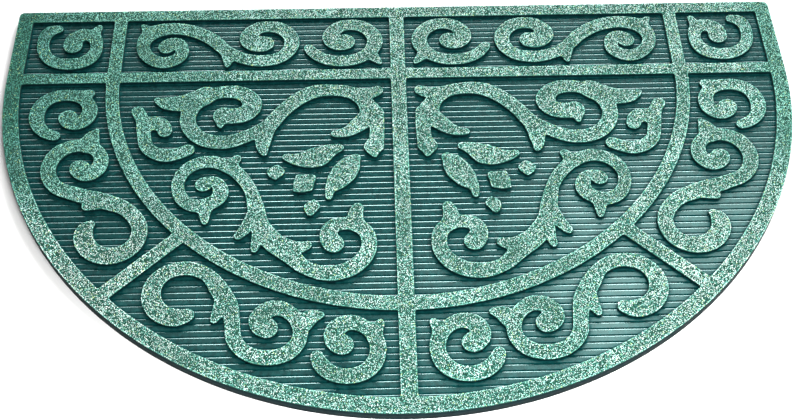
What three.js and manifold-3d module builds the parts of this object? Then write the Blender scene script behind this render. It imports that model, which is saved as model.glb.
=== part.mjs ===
// Doormat: one flat rubber moulding with a straight back edge and a round front edge. A raised
// border, crossing bars, an inner arch and curling scrollwork stand on a floor of fine ribs.
// Millimetres. X runs along the straight edge, Y points to it, Z is up from the ground.
import * as THREE from 'three';
import { mergeVertices } from 'three/addons/utils/BufferGeometryUtils.js';
import Module from 'manifold-3d';

const wasm = await Module();
wasm.setup();

// Plan of the mat: short straight sides, then half of an ellipse round the front.
const matWidth = 762;
const matDepth = 457.2;
const straightSide = 89.8;
const backCorner = 5;
const backEdge = matDepth / 2;
const crossBarMiddle = backEdge - straightSide;
const roundDepth = matDepth - straightSide;

// Heights above the ground. The relief is rooted below the grooves of the floor.
const reliefTop = 11;
const ribTop = 7;
const grooveFloor = 5.8;
const rootHeight = 3;

// Ribs of the floor run along X. One groove lies just in front of the middle.
const ribPitch = 9.6;
const middleGroove = -0.8;

// Raised frame.
const borderWidth = 15;
const backBorderWidth = 13.8;
const centreBarWidth = 14.6;
const crossBarWidth = 12.6;
const archHalfWidth = 277.4;
const archDepth = 262.6;
const archSideWidth = 13;
const archFrontWidth = 14.6;
const strutWidth = 14;
const strutStart = { x: -200, y: -51 };
const strutEnd = { x: -268, y: -115 };

// How far a flat facet may stray from the true curve, and how many steps make one.
const frameTolerance = 0.3;
const scrollTolerance = 0.5;
const straightTolerance = 0.02;
const cornerSteps = 3;
const spanSteps = 8;
const linkSteps = 2;
const endSteps = 24;

// On the inside of a tight bend an edge stays this share of the way to the centre of the bend.
const bendShare = 0.97;

// Lengths under this count as nothing.
const hairline = 1e-4;

// Solid from a closed surface.
function toSolid(geometry) {
  geometry.deleteAttribute('normal');
  geometry.deleteAttribute('uv');
  const merged = mergeVertices(geometry, hairline);
  return new wasm.Manifold(new wasm.Mesh({
    numProp: 3,
    vertProperties: new Float32Array(merged.attributes.position.array),
    triVerts: new Uint32Array(merged.index.array),
  }));
}

// Upright block over a closed outline, between two heights.
function block(points, bottom, top) {
  const geometry = new THREE.ExtrudeGeometry(new THREE.Shape(points), {
    depth: top - bottom,
    bevelEnabled: false,
  });
  geometry.translate(0, 0, bottom);
  return toSolid(geometry);
}

const joined = (solids) => solids.reduce((all, solid) => all.add(solid));

const polar = (centre, radius, angle) => new THREE.Vector2(
  centre.x + radius * Math.cos(angle),
  centre.y + radius * Math.sin(angle),
);

// Front half of an ellipse from the left end to the right one, in facets true to the tolerance.
function frontCurve(halfWidth, depth) {
  const step = 2 * Math.acos(1 - frameTolerance / Math.max(halfWidth, depth));
  const count = 2 * Math.ceil(Math.PI / step / 2);
  const points = [];
  for (let i = 0; i <= count; i += 1) {
    const angle = Math.PI * (1 + i / count);
    points.push(new THREE.Vector2(
      halfWidth * Math.cos(angle),
      crossBarMiddle + depth * Math.sin(angle),
    ));
  }
  return points;
}

// Outline of the mat, drawn in from its sides and from its back. A corner of zero is sharp.
function matOutline(inset, backInset, corner) {
  const side = matWidth / 2 - inset - corner;
  const back = backEdge - backInset - corner;
  const points = frontCurve(side + corner, roundDepth - inset);
  const steps = corner > 0 ? cornerSteps : 1;
  for (let i = 0; i <= steps; i += 1) {
    points.push(polar({ x: side, y: back }, corner, i / steps * Math.PI / 2));
  }
  for (let i = 0; i <= steps; i += 1) {
    points.push(polar({ x: -side, y: back }, corner, (1 + i / steps) * Math.PI / 2));
  }
  return corner > 0 ? points : points.filter((point, i) => !point.equals(points.at(i - 1)));
}

// Straight bar between two points.
function bar(from, to, width) {
  const along = new THREE.Vector2(to.x - from.x, to.y - from.y).normalize();
  const side = new THREE.Vector2(-along.y, along.x).multiplyScalar(width / 2);
  return block([
    new THREE.Vector2(from.x - side.x, from.y - side.y),
    new THREE.Vector2(to.x - side.x, to.y - side.y),
    new THREE.Vector2(to.x + side.x, to.y + side.y),
    new THREE.Vector2(from.x + side.x, from.y + side.y),
  ], rootHeight, reliefTop);
}

// Rectangle of ribbed floor: a zigzag section drawn out along X.
function ribbedFloor() {
  const firstGroove = Math.floor((-backEdge - middleGroove) / ribPitch);
  const lastGroove = Math.ceil((backEdge - middleGroove) / ribPitch);
  const section = [
    new THREE.Vector2(middleGroove + firstGroove * ribPitch, 0),
    new THREE.Vector2(middleGroove + lastGroove * ribPitch, 0),
  ];
  for (let i = lastGroove; i > firstGroove; i -= 1) {
    section.push(new THREE.Vector2(middleGroove + i * ribPitch, grooveFloor));
    section.push(new THREE.Vector2(middleGroove + (i - 0.5) * ribPitch, ribTop));
  }
  section.push(new THREE.Vector2(middleGroove + firstGroove * ribPitch, grooveFloor));
  const geometry = new THREE.ExtrudeGeometry(new THREE.Shape(section), {
    depth: matWidth,
    bevelEnabled: false,
  });
  geometry.translate(0, 0, -matWidth / 2);
  geometry.applyMatrix4(new THREE.Matrix4().makeBasis(
    new THREE.Vector3(0, 1, 0),
    new THREE.Vector3(0, 0, 1),
    new THREE.Vector3(1, 0, 0),
  ));
  return toSolid(geometry);
}

// Border, centre bar, cross bar, inner arch with its legs, and the two slanting struts.
function raisedFrame() {
  const border = block(matOutline(0, 0, backCorner), rootHeight, reliefTop);
  const opening = block(matOutline(borderWidth, backBorderWidth, 0), 0, reliefTop + 1);
  const backMiddle = backEdge - backBorderWidth / 2;
  const sideMiddle = matWidth / 2 - borderWidth / 2;
  const frontMiddle = backEdge - matDepth + borderWidth / 2;
  const archOuter = frontCurve(archHalfWidth + archSideWidth / 2, archDepth + archFrontWidth / 2);
  const archInner = frontCurve(archHalfWidth - archSideWidth / 2, archDepth - archFrontWidth / 2);
  const arch = block([
    ...archOuter,
    new THREE.Vector2(archOuter.at(-1).x, backMiddle),
    new THREE.Vector2(archInner.at(-1).x, backMiddle),
    ...archInner.reverse(),
    new THREE.Vector2(archInner.at(-1).x, backMiddle),
    new THREE.Vector2(archOuter[0].x, backMiddle),
  ], rootHeight, reliefTop);
  return joined([
    border.subtract(opening),
    arch,
    bar({ x: 0, y: backMiddle }, { x: 0, y: frontMiddle }, centreBarWidth),
    bar({ x: -sideMiddle, y: crossBarMiddle }, { x: sideMiddle, y: crossBarMiddle }, crossBarWidth),
    bar(strutStart, strutEnd, strutWidth),
    bar({ x: -strutStart.x, y: strutStart.y }, { x: -strutEnd.x, y: strutEnd.y }, strutWidth),
  ]);
}

// Direction of the middle line at each station, that of the circle through it and its neighbours.
function headings(stations) {
  const last = stations.length - 1;
  const chord = (i) => new THREE.Vector2(
    stations[i + 1].x - stations[i].x,
    stations[i + 1].y - stations[i].y,
  );
  if (last === 1) return [chord(0).angle(), chord(0).angle()];
  const angles = stations.map((station, i) => {
    if (i === 0 || i === last) return 0;
    const before = chord(i - 1);
    const after = chord(i);
    before.divideScalar(before.lengthSq());
    after.divideScalar(after.lengthSq());
    return before.add(after).angle();
  });
  angles[0] = 2 * chord(0).angle() - angles[1];
  angles[last] = 2 * chord(last - 1).angle() - angles[last - 1];
  return angles;
}

// Middle line of a strip: round arcs from station to station, with the width worked out between.
function middleLine(stations) {
  const angles = headings(stations);
  const line = [];
  for (let i = 0; i < stations.length - 1; i += 1) {
    const from = stations[i];
    const to = stations[i + 1];
    const turn = angles[i + 1] - angles[i];
    const shortTurn = Math.atan2(Math.sin(turn), Math.cos(turn));
    const chord = Math.hypot(to.x - from.x, to.y - from.y);
    const handle = chord / 3 / Math.cos(shortTurn / 4) ** 2;
    const curve = new THREE.CubicBezierCurve(
      new THREE.Vector2(from.x, from.y),
      polar(from, handle, angles[i]),
      polar(to, -handle, angles[i + 1]),
      new THREE.Vector2(to.x, to.y),
    );
    const firstStep = i === 0 ? 0 : 1;
    for (let step = firstStep; step <= spanSteps; step += 1) {
      const share = step / spanSteps;
      line.push({
        point: curve.getPoint(share),
        along: curve.getTangent(share),
        halfWidth: THREE.MathUtils.lerp(from.width, to.width, share) / 2,
      });
    }
  }
  return line;
}

// Both edges of a strip. On the inside of a tight bend the edge stops at the centre of the bend.
function stripEdges(line) {
  return line.map((here, i) => {
    const before = line[Math.max(i - 1, 0)];
    const after = line[Math.min(i + 1, line.length - 1)];
    const bend = before.along.cross(after.along);
    const length = before.point.distanceTo(after.point);
    const radius = length / Math.max(Math.abs(bend), hairline);
    const innerHalf = Math.min(here.halfWidth, bendShare * radius);
    const leftHalf = bend > 0 ? innerHalf : here.halfWidth;
    const rightHalf = bend > 0 ? here.halfWidth : innerHalf;
    const normal = new THREE.Vector2(-here.along.y, here.along.x);
    return {
      left: here.point.clone().addScaledVector(normal, leftHalf),
      right: here.point.clone().addScaledVector(normal, -rightHalf),
    };
  });
}

// Convex outline round a few points, anticlockwise.
function hull(points) {
  const sorted = [...points].sort((a, b) => a.x - b.x || a.y - b.y);
  const chain = (row) => {
    const kept = [];
    row.forEach((point) => {
      while (kept.length > 1) {
        const before = kept.at(-1).clone().sub(kept.at(-2));
        const after = point.clone().sub(kept.at(-1));
        if (before.cross(after) > hairline) break;
        kept.pop();
      }
      kept.push(point);
    });
    return kept.slice(0, -1);
  };
  return [...chain(sorted), ...chain(sorted.reverse())];
}

// Round plate at the end of a strip.
function roundEnd(end) {
  const points = [];
  for (let i = 0; i < endSteps; i += 1) {
    points.push(polar(end.point, end.halfWidth, 2 * Math.PI * i / endSteps));
  }
  return block(points, rootHeight, reliefTop);
}

// Solid strip with round ends, built link by link so that a coil may run into itself.
function strip(stations) {
  const line = middleLine(stations);
  const edges = stripEdges(line);
  const links = [roundEnd(line[0]), roundEnd(line.at(-1))];
  for (let start = 0; start < line.length - 1; start += linkSteps) {
    const part = edges.slice(start, start + linkSteps + 2);
    const plate = hull(part.flatMap((edge) => [edge.left, edge.right]));
    links.push(block(plate, rootHeight, reliefTop));
  }
  return joined(links);
}

// Scrollwork of the left half. Each strip has a row for each section of its middle line.
const scrollwork = {
  cornerScroll: [
    [
      { x: -339, y: 205, width: 10 },
      { x: -347.5, y: 202, width: 14 },
      { x: -352, y: 187, width: 12 },
      { x: -343.5, y: 165, width: 12.5 },
      { x: -322, y: 157.7, width: 14.5 },
      { x: -303.2, y: 165.2, width: 14.5 },
      { x: -298.5, y: 180, width: 12 },
      { x: -302.5, y: 193, width: 14 },
      { x: -312.5, y: 197.2, width: 15.5 },
      { x: -321, y: 191, width: 18 },
      { x: -322, y: 182, width: 19 },
    ],
    [
      { x: -303, y: 195, width: 12 },
      { x: -298.5, y: 207, width: 7 },
    ],
  ],
  bandDoubleScroll: [
    [
      { x: -229, y: 178.5, width: 17.4 },
      { x: -221, y: 183, width: 15.5 },
      { x: -213, y: 172, width: 13 },
      { x: -227, y: 158, width: 14.5 },
      { x: -246.5, y: 166, width: 13.5 },
      { x: -252.5, y: 180, width: 13 },
      { x: -244.5, y: 197.8, width: 17.5 },
      { x: -229, y: 203, width: 15.5 },
      { x: -205, y: 199.7, width: 15 },
      { x: -185, y: 188.3, width: 15 },
      { x: -168, y: 171, width: 13.5 },
      { x: -152, y: 161.5, width: 13.5 },
      { x: -135, y: 158, width: 14.7 },
      { x: -111, y: 166.5, width: 14 },
      { x: -104.7, y: 182, width: 15.3 },
      { x: -113.5, y: 199.2, width: 15 },
      { x: -128, y: 204.2, width: 14.7 },
      { x: -143.5, y: 199, width: 15.5 },
      { x: -147.5, y: 188, width: 20 },
      { x: -141.5, y: 181.5, width: 21 },
      { x: -132, y: 181, width: 19.4 },
    ],
    [
      { x: -249, y: 201, width: 12 },
      { x: -255, y: 208, width: 5 },
    ],
    [
      { x: -168, y: 170, width: 15 },
      { x: -167.3, y: 160, width: 11 },
      { x: -167.8, y: 152.5, width: 5.5 },
    ],
  ],
  bandScroll: [
    [
      { x: -87.8, y: 173.8, width: 10.5 },
      { x: -80, y: 164.3, width: 12.5 },
      { x: -57, y: 156, width: 13.7 },
      { x: -30.5, y: 165, width: 13.5 },
      { x: -22, y: 182, width: 15.8 },
      { x: -29.3, y: 198.2, width: 14.7 },
      { x: -47, y: 205, width: 14 },
      { x: -62, y: 198.5, width: 15 },
      { x: -65.5, y: 187, width: 18.5 },
      { x: -60.5, y: 181.5, width: 20 },
      { x: -52, y: 181.7, width: 20.2 },
    ],
    [
      { x: -27, y: 165, width: 13 },
      { x: -20.5, y: 157, width: 8.5 },
      { x: -17.3, y: 153, width: 5 },
    ],
  ],
  ringUpperScroll: [
    [
      { x: -325, y: 67.3, width: 11 },
      { x: -336, y: 72.3, width: 12 },
      { x: -345.5, y: 91, width: 15 },
      { x: -338.3, y: 111.5, width: 14.5 },
      { x: -320, y: 117.5, width: 13.5 },
      { x: -300, y: 109, width: 13 },
      { x: -295.5, y: 96, width: 15 },
      { x: -299, y: 86.5, width: 15.5 },
      { x: -307, y: 82.7, width: 17 },
      { x: -315.5, y: 89.3, width: 18.8 },
    ],
    [
      { x: -307, y: 116, width: 15 },
      { x: -297.5, y: 119.3, width: 9.5 },
    ],
  ],
  ringDoubleScroll: [
    [
      { x: -297.5, y: 28.5, width: 19 },
      { x: -290, y: 22.7, width: 19 },
      { x: -281.5, y: 26, width: 15.5 },
      { x: -278.2, y: 37, width: 14 },
      { x: -283.5, y: 48.5, width: 13 },
      { x: -297, y: 55, width: 14 },
      { x: -318.8, y: 47.5, width: 15.5 },
      { x: -326, y: 30, width: 14.7 },
      { x: -317.3, y: 8.3, width: 13.8 },
      { x: -298, y: -1, width: 15 },
      { x: -270, y: -10, width: 17 },
      { x: -249, y: -20, width: 14.5 },
      { x: -235.3, y: -45, width: 14.5 },
      { x: -241, y: -61, width: 15.5 },
      { x: -261, y: -69.5, width: 18 },
      { x: -279, y: -61, width: 18 },
      { x: -285, y: -46, width: 17.5 },
      { x: -283, y: -39, width: 15 },
      { x: -279, y: -34.8, width: 7.5 },
    ],
    [
      { x: -292, y: 56, width: 20 },
      { x: -289.5, y: 66, width: 15 },
      { x: -286, y: 73, width: 5 },
    ],
    [
      { x: -276, y: -12, width: 14 },
      { x: -286.3, y: -15.8, width: 8.6 },
    ],
  ],
  ringHook: [
    [
      { x: -250, y: 95.8, width: 12.5 },
      { x: -245, y: 86, width: 12.5 },
      { x: -242, y: 69, width: 12.8 },
      { x: -236, y: 50, width: 13 },
      { x: -219, y: 41.5, width: 15 },
      { x: -206, y: 44.3, width: 13.5 },
      { x: -198.7, y: 47.7, width: 13 },
    ],
    [
      { x: -240, y: 78, width: 16 },
      { x: -230, y: 80.5, width: 16 },
      { x: -222.3, y: 70.5, width: 14 },
    ],
  ],
  highBranch: [
    [
      { x: -168.3, y: 89.3, width: 19 },
      { x: -157, y: 88, width: 18.5 },
      { x: -146, y: 91.5, width: 18.5 },
      { x: -141, y: 102, width: 19.3 },
      { x: -147, y: 112.8, width: 17 },
      { x: -170, y: 118.2, width: 14.7 },
      { x: -193, y: 106.5, width: 15.5 },
      { x: -201.7, y: 87, width: 15.3 },
      { x: -190, y: 63, width: 15.5 },
      { x: -167, y: 56, width: 15.7 },
      { x: -141.5, y: 64.5, width: 14 },
      { x: -124, y: 76, width: 16 },
      { x: -113.5, y: 90.7, width: 15 },
      { x: -100, y: 105.2, width: 15.5 },
      { x: -83, y: 116.3, width: 16 },
      { x: -62, y: 118.2, width: 13.7 },
      { x: -44, y: 113.5, width: 14.5 },
      { x: -33.5, y: 103, width: 15.5 },
      { x: -27.5, y: 90, width: 21 },
    ],
    [
      { x: -170, y: 86, width: 15 },
      { x: -170.3, y: 75.5, width: 5.5 },
    ],
    [
      { x: -123, y: 76, width: 15 },
      { x: -129, y: 56, width: 15.5 },
      { x: -129, y: 47, width: 11 },
      { x: -127.8, y: 42.5, width: 7.5 },
    ],
    [
      { x: -24.3, y: 37, width: 5 },
      { x: -25.2, y: 46.5, width: 20.4 },
      { x: -22.6, y: 56, width: 14.4 },
      { x: -22, y: 66, width: 14 },
      { x: -22, y: 90, width: 14 },
    ],
    [
      { x: -40, y: 114, width: 14 },
      { x: -28, y: 113.5, width: 13 },
      { x: -20.5, y: 117.2, width: 11.5 },
    ],
    [
      { x: -28, y: 86, width: 20 },
      { x: -39, y: 75, width: 17 },
      { x: -50, y: 66.5, width: 12.2 },
      { x: -62.3, y: 64.1, width: 7.6 },
    ],
    [
      { x: -186, y: 114.5, width: 22 },
      { x: -200, y: 107, width: 22 },
      { x: -215, y: 104.5, width: 18 },
      { x: -225, y: 105.8, width: 14.5 },
      { x: -232.6, y: 109.6, width: 6.8 },
    ],
  ],
  upperLeaf: [
    [
      { x: -107.5, y: 37.3, width: 7.5 },
      { x: -98, y: 34.3, width: 13 },
      { x: -87, y: 34.5, width: 21 },
      { x: -77, y: 37.3, width: 24 },
      { x: -66, y: 44, width: 15 },
      { x: -57.5, y: 47, width: 9 },
    ],
  ],
  lowerLeaf: [
    [
      { x: -66.8, y: -10, width: 6.5 },
      { x: -66.3, y: -3, width: 8.5 },
      { x: -60, y: 7.5, width: 20 },
      { x: -53, y: 18, width: 24.5 },
      { x: -46, y: 29.5, width: 19.5 },
      { x: -42.3, y: 34.3, width: 10.5 },
    ],
  ],
  lowBranch: [
    [
      { x: -182, y: 7, width: 16 },
      { x: -175, y: 10.8, width: 10 },
      { x: -165.6, y: 0, width: 14.7 },
      { x: -184, y: -17, width: 14 },
      { x: -205.3, y: 8, width: 11.7 },
      { x: -197.7, y: 25.5, width: 13 },
      { x: -180, y: 33.3, width: 13.8 },
      { x: -162, y: 28, width: 13.5 },
      { x: -148.7, y: 16.2, width: 13 },
      { x: -138, y: -1.5, width: 12 },
      { x: -133, y: -20, width: 15.5 },
      { x: -128.3, y: -38, width: 15.5 },
      { x: -117, y: -57, width: 20 },
      { x: -101.5, y: -72, width: 17 },
      { x: -86, y: -86.5, width: 13.5 },
      { x: -64, y: -92, width: 16 },
      { x: -40, y: -81.7, width: 15.5 },
      { x: -31, y: -63, width: 14 },
      { x: -35.5, y: -46.5, width: 14 },
      { x: -52, y: -39.3, width: 13.5 },
      { x: -65.3, y: -44, width: 14.5 },
      { x: -67, y: -53.5, width: 16.5 },
      { x: -62.5, y: -61, width: 19.3 },
    ],
    [
      { x: -179, y: -18, width: 15 },
      { x: -178.5, y: -29, width: 9.5 },
      { x: -178, y: -35, width: 6.5 },
    ],
    [
      { x: -160, y: 27, width: 15 },
      { x: -152.3, y: 36.5, width: 8.5 },
    ],
    [
      { x: -134, y: -30, width: 16 },
      { x: -142, y: -44, width: 11 },
      { x: -147.7, y: -51, width: 8.3 },
    ],
    [
      { x: -128, y: -46, width: 15 },
      { x: -131, y: -58, width: 9.5 },
      { x: -132.8, y: -66, width: 6.8 },
    ],
    [
      { x: -108, y: -62, width: 18 },
      { x: -95, y: -64.5, width: 13.5 },
      { x: -86.3, y: -62.3, width: 9.5 },
    ],
    [
      { x: -41, y: -42, width: 15 },
      { x: -43, y: -30, width: 14.3 },
      { x: -41, y: -22.6, width: 11.6 },
    ],
  ],
  frontDoubleScroll: [
    [
      { x: -187, y: -131.5, width: 13 },
      { x: -196, y: -133.8, width: 17.5 },
      { x: -211.7, y: -127.5, width: 18 },
      { x: -219.5, y: -110, width: 17 },
      { x: -213, y: -92.3, width: 15 },
      { x: -194, y: -84, width: 14.3 },
      { x: -172.3, y: -91.3, width: 13 },
      { x: -160.5, y: -107.5, width: 17 },
      { x: -151.5, y: -124, width: 16 },
      { x: -148.3, y: -140, width: 13.5 },
      { x: -146, y: -156.5, width: 13.5 },
      { x: -137, y: -168, width: 13.5 },
      { x: -118, y: -174.4, width: 14.5 },
      { x: -98.5, y: -168.5, width: 14.5 },
      { x: -90.3, y: -153, width: 13 },
      { x: -92.8, y: -141, width: 12.5 },
      { x: -100, y: -131, width: 13.5 },
      { x: -111, y: -126.2, width: 15 },
      { x: -122.5, y: -131, width: 16.5 },
      { x: -125.5, y: -139.5, width: 18.5 },
      { x: -118.8, y: -146, width: 19.6 },
    ],
    [
      { x: -157, y: -118, width: 15 },
      { x: -161, y: -130, width: 11 },
      { x: -164, y: -137, width: 7.2 },
    ],
    [
      { x: -87.5, y: -141.5, width: 17 },
      { x: -82, y: -136.5, width: 15.5 },
      { x: -73.5, y: -134, width: 7.5 },
    ],
  ],
  frontScroll: [
    [
      { x: -76.3, y: -173.8, width: 11.5 },
      { x: -72.3, y: -182.5, width: 14.4 },
      { x: -51, y: -193.2, width: 14.5 },
      { x: -32, y: -186, width: 15 },
      { x: -25, y: -171, width: 14 },
      { x: -27.3, y: -157, width: 14 },
      { x: -36, y: -146.5, width: 13 },
      { x: -51, y: -142.3, width: 15.3 },
      { x: -61, y: -149.5, width: 17 },
      { x: -61.5, y: -158.5, width: 17.5 },
      { x: -54.8, y: -163.5, width: 19.6 },
    ],
    [
      { x: -27.5, y: -158, width: 13 },
      { x: -25.5, y: -148, width: 11.5 },
      { x: -22.7, y: -143.2, width: 8.2 },
    ],
  ],
};

// Small lozenges, by their corners.
const lozenges = {
  leftLozenge: [
    { x: -125.3, y: 21.5 },
    { x: -123, y: 15.5 },
    { x: -116.2, y: 10.2 },
    { x: -109, y: 17 },
    { x: -107.3, y: 21 },
    { x: -113, y: 27.8 },
    { x: -116.5, y: 28 },
    { x: -122.5, y: 24.5 },
  ],
  squareLozenge: [
    { x: -100, y: -3 },
    { x: -91, y: -4 },
    { x: -82, y: -2 },
    { x: -80.5, y: 6 },
    { x: -78.5, y: 13 },
    { x: -80.5, y: 16 },
    { x: -97, y: 16.5 },
    { x: -99.5, y: 8 },
  ],
  rightLozenge: [
    { x: -90, y: -19.5 },
    { x: -88.3, y: -27 },
    { x: -85, y: -30.8 },
    { x: -82, y: -30.3 },
    { x: -78, y: -25 },
    { x: -74.6, y: -20.5 },
    { x: -76, y: -15.5 },
    { x: -80.5, y: -12 },
    { x: -87.5, y: -16 },
  ],
};

// Closed outlines of the flat top of a solid: anticlockwise round it, clockwise round an opening.
function topOutlines(solid) {
  const mesh = solid.getMesh();
  const corner = (vertex) => (
    new THREE.Vector3().fromArray(mesh.vertProperties, vertex * mesh.numProp)
  );
  const edges = new Map();
  for (let i = 0; i < mesh.triVerts.length; i += 3) {
    const triangle = [...mesh.triVerts.slice(i, i + 3)];
    if (triangle.every((vertex) => corner(vertex).z > reliefTop - hairline)) {
      triangle.forEach((from, k) => {
        const to = triangle[(k + 1) % 3];
        edges.set(`${from} ${to}`, [from, to]);
      });
    }
  }
  const following = new Map();
  edges.forEach(([from, to]) => {
    if (!edges.has(`${to} ${from}`)) following.set(from, to);
  });
  const outlines = [];
  while (following.size > 0) {
    let vertex = following.keys().next().value;
    const outline = [];
    while (following.has(vertex)) {
      const place = corner(vertex);
      outline.push(new THREE.Vector2(place.x, place.y));
      const next = following.get(vertex);
      following.delete(vertex);
      vertex = next;
    }
    outlines.push(outline);
  }
  return outlines;
}

// Keeps only the points that the shape of a closed outline needs. Each facet reaches as far as
// the tolerance lets it, and the first one starts at the sharpest corner.
function thinned(outline, tolerance) {
  const count = outline.length;
  const sharpness = outline.map((point, i) => {
    const before = point.clone().sub(outline.at(i - 1)).normalize();
    const after = outline[(i + 1) % count].clone().sub(point).normalize();
    return before.distanceTo(after);
  });
  const first = sharpness.indexOf(Math.max(...sharpness));
  const loop = [...outline.slice(first), ...outline.slice(0, first + 1)];
  const strays = (from, to) => {
    const along = loop[to].clone().sub(loop[from]);
    const between = loop.slice(from + 1, to);
    return between.some((point) => {
      const offset = Math.abs(along.cross(point.clone().sub(loop[from])));
      return offset > tolerance * along.length();
    });
  };
  const kept = [];
  let here = 0;
  while (here < count) {
    kept.push(loop[here]);
    let next = here + 1;
    while (next < count && !strays(here, next + 1)) next += 1;
    here = next;
  }
  return kept;
}

const mirrored = (points) => points.map((point) => new THREE.Vector2(-point.x, point.y)).reverse();

// All the scrollwork, left and right.
function raisedScrolls() {
  const solids = [];
  Object.values(scrollwork).forEach((strips) => {
    const whole = joined(strips.map(strip));
    topOutlines(whole).forEach((outline) => {
      const points = thinned(outline, scrollTolerance);
      solids.push(block(points, rootHeight, reliefTop));
      solids.push(block(mirrored(points), rootHeight, reliefTop));
    });
  });
  Object.values(lozenges).forEach((corners) => {
    const points = corners.map((corner) => new THREE.Vector2(corner.x, corner.y));
    solids.push(block(points, rootHeight, reliefTop));
    solids.push(block(mirrored(points), rootHeight, reliefTop));
  });
  return joined(solids);
}

// The blank is the full height all over. Between the relief it is cut down to the ribs, from the
// widest opening to the smallest, and what stands free inside an opening is left uncut.
function moulding() {
  const raised = raisedFrame().add(raisedScrolls());
  const outlines = topOutlines(raised).map((outline) => thinned(outline, straightTolerance));
  const size = (outline) => THREE.ShapeUtils.area(outline);
  const [rim, ...inner] = outlines.sort((a, b) => Math.abs(size(b)) - Math.abs(size(a)));
  const cuts = inner.map((outline) => block(outline, rootHeight, reliefTop + 1));
  const openings = cuts.reduce((all, cut, i) => (
    size(inner[i]) < 0 ? all.add(cut) : all.subtract(cut)
  ));
  return block(rim, 0, reliefTop).subtract(openings.subtract(ribbedFloor()));
}

const surface = moulding().getMesh();
const geometry = new THREE.BufferGeometry();
geometry.setAttribute(
  'position',
  new THREE.BufferAttribute(new Float32Array(surface.vertProperties), 3),
);
geometry.setIndex(new THREE.BufferAttribute(new Uint32Array(surface.triVerts), 1));
geometry.computeVertexNormals();

const material = new THREE.MeshStandardMaterial({ color: '#4f7f78', roughness: 0.9, metalness: 0 });
const mat = new THREE.Mesh(geometry, material);
mat.name = 'doormat';

const group = new THREE.Group();
group.name = 'doormat_with_scrollwork';
group.add(mat);

export default group;
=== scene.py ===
import math

import bpy
import numpy as np
from mathutils import Matrix, Vector
from mathutils.geometry import convex_hull_2d, delaunay_2d_cdt


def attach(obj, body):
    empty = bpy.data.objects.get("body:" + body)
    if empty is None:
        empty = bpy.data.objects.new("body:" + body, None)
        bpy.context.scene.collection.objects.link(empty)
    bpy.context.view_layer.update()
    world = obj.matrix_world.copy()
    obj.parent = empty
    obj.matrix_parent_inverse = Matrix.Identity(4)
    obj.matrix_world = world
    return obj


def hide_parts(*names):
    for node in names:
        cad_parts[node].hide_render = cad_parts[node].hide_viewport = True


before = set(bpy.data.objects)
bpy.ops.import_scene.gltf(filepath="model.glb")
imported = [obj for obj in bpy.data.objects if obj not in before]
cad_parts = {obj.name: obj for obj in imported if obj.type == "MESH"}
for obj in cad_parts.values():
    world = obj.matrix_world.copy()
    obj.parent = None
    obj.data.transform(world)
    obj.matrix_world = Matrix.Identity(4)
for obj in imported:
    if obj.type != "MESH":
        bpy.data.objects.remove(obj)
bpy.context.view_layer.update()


# The view. The mat is looked down on from the front at 54 degrees, from 1.16 metres away, a little
# to the left of its middle, with the straight edge at the top of the picture.
VIEW_FROM = (-0.02653, -0.68655, 0.93338)
VIEW_DOWN = math.radians(54.407)
VIEW_TO_RIGHT = math.radians(2.059)
VIEW_TILT = math.radians(0.587)
LENS = 56.62
FILM_WIDTH = 36

view = bpy.data.objects.new("view", bpy.data.cameras.new("view"))
view.data.sensor_width = FILM_WIDTH
view.data.lens = LENS
view.matrix_world = (
    Matrix.Translation(VIEW_FROM)
    @ Matrix.Rotation(-VIEW_TO_RIGHT, 4, "Z")
    @ Matrix.Rotation(math.pi / 2 - VIEW_DOWN, 4, "X")
    @ Matrix.Rotation(VIEW_TILT, 4, "Z")
)
bpy.context.scene.collection.objects.link(view)
bpy.context.scene.camera = view


# The ground and the light. A plain pale floor, a hair below the mat's underside. Strips of light
# behind the straight edge draw the bright lines on the ribs, panels overhead lay a thin veil on
# their flat tops, and soft lights light the pile and throw its short shadows to the front left.
FLOOR_REACH = 2.0
FLOOR_DROP = 0.0003
FLOOR_COLOUR = (0.86, 0.86, 0.85, 1)
SKY_COLOUR = (0.9, 0.95, 1, 1)
SKY_STRENGTH = 0.05


def shader(name):
    """A new material and its principled shader."""
    made = bpy.data.materials.new(name)
    made.use_nodes = True
    return made, made.node_tree.nodes["Principled BSDF"]


def lamp(name, place, aim, size, power, glints=True):
    """A soft rectangular light, turned to what it is aimed at. Without glints it still lights the
    mat, but isn't mirrored in the rubber."""
    light = bpy.data.lights.new(name, "AREA")
    light.shape = "RECTANGLE"
    light.size, light.size_y = size
    light.energy = power
    stand = bpy.data.objects.new(name, light)
    stand.location = place
    stand.rotation_euler = (Vector(aim) - Vector(place)).to_track_quat("-Z", "Y").to_euler()
    stand.visible_camera = False
    stand.visible_glossy = glints
    bpy.context.scene.collection.objects.link(stand)


floor_corners = [(-1, -1), (1, -1), (1, 1), (-1, 1)]
ground = bpy.data.meshes.new("pale_floor")
ground.from_pydata(
    [(FLOOR_REACH * x, FLOOR_REACH * y, -FLOOR_DROP) for x, y in floor_corners],
    [],
    [(0, 1, 2, 3)],
)
pale_floor = bpy.data.objects.new("pale_floor", ground)
bpy.context.scene.collection.objects.link(pale_floor)
floor_paint, floor_shader = shader("pale_floor")
floor_shader.inputs["Base Color"].default_value = FLOOR_COLOUR
floor_shader.inputs["Roughness"].default_value = 0.9
ground.materials.append(floor_paint)

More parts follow.
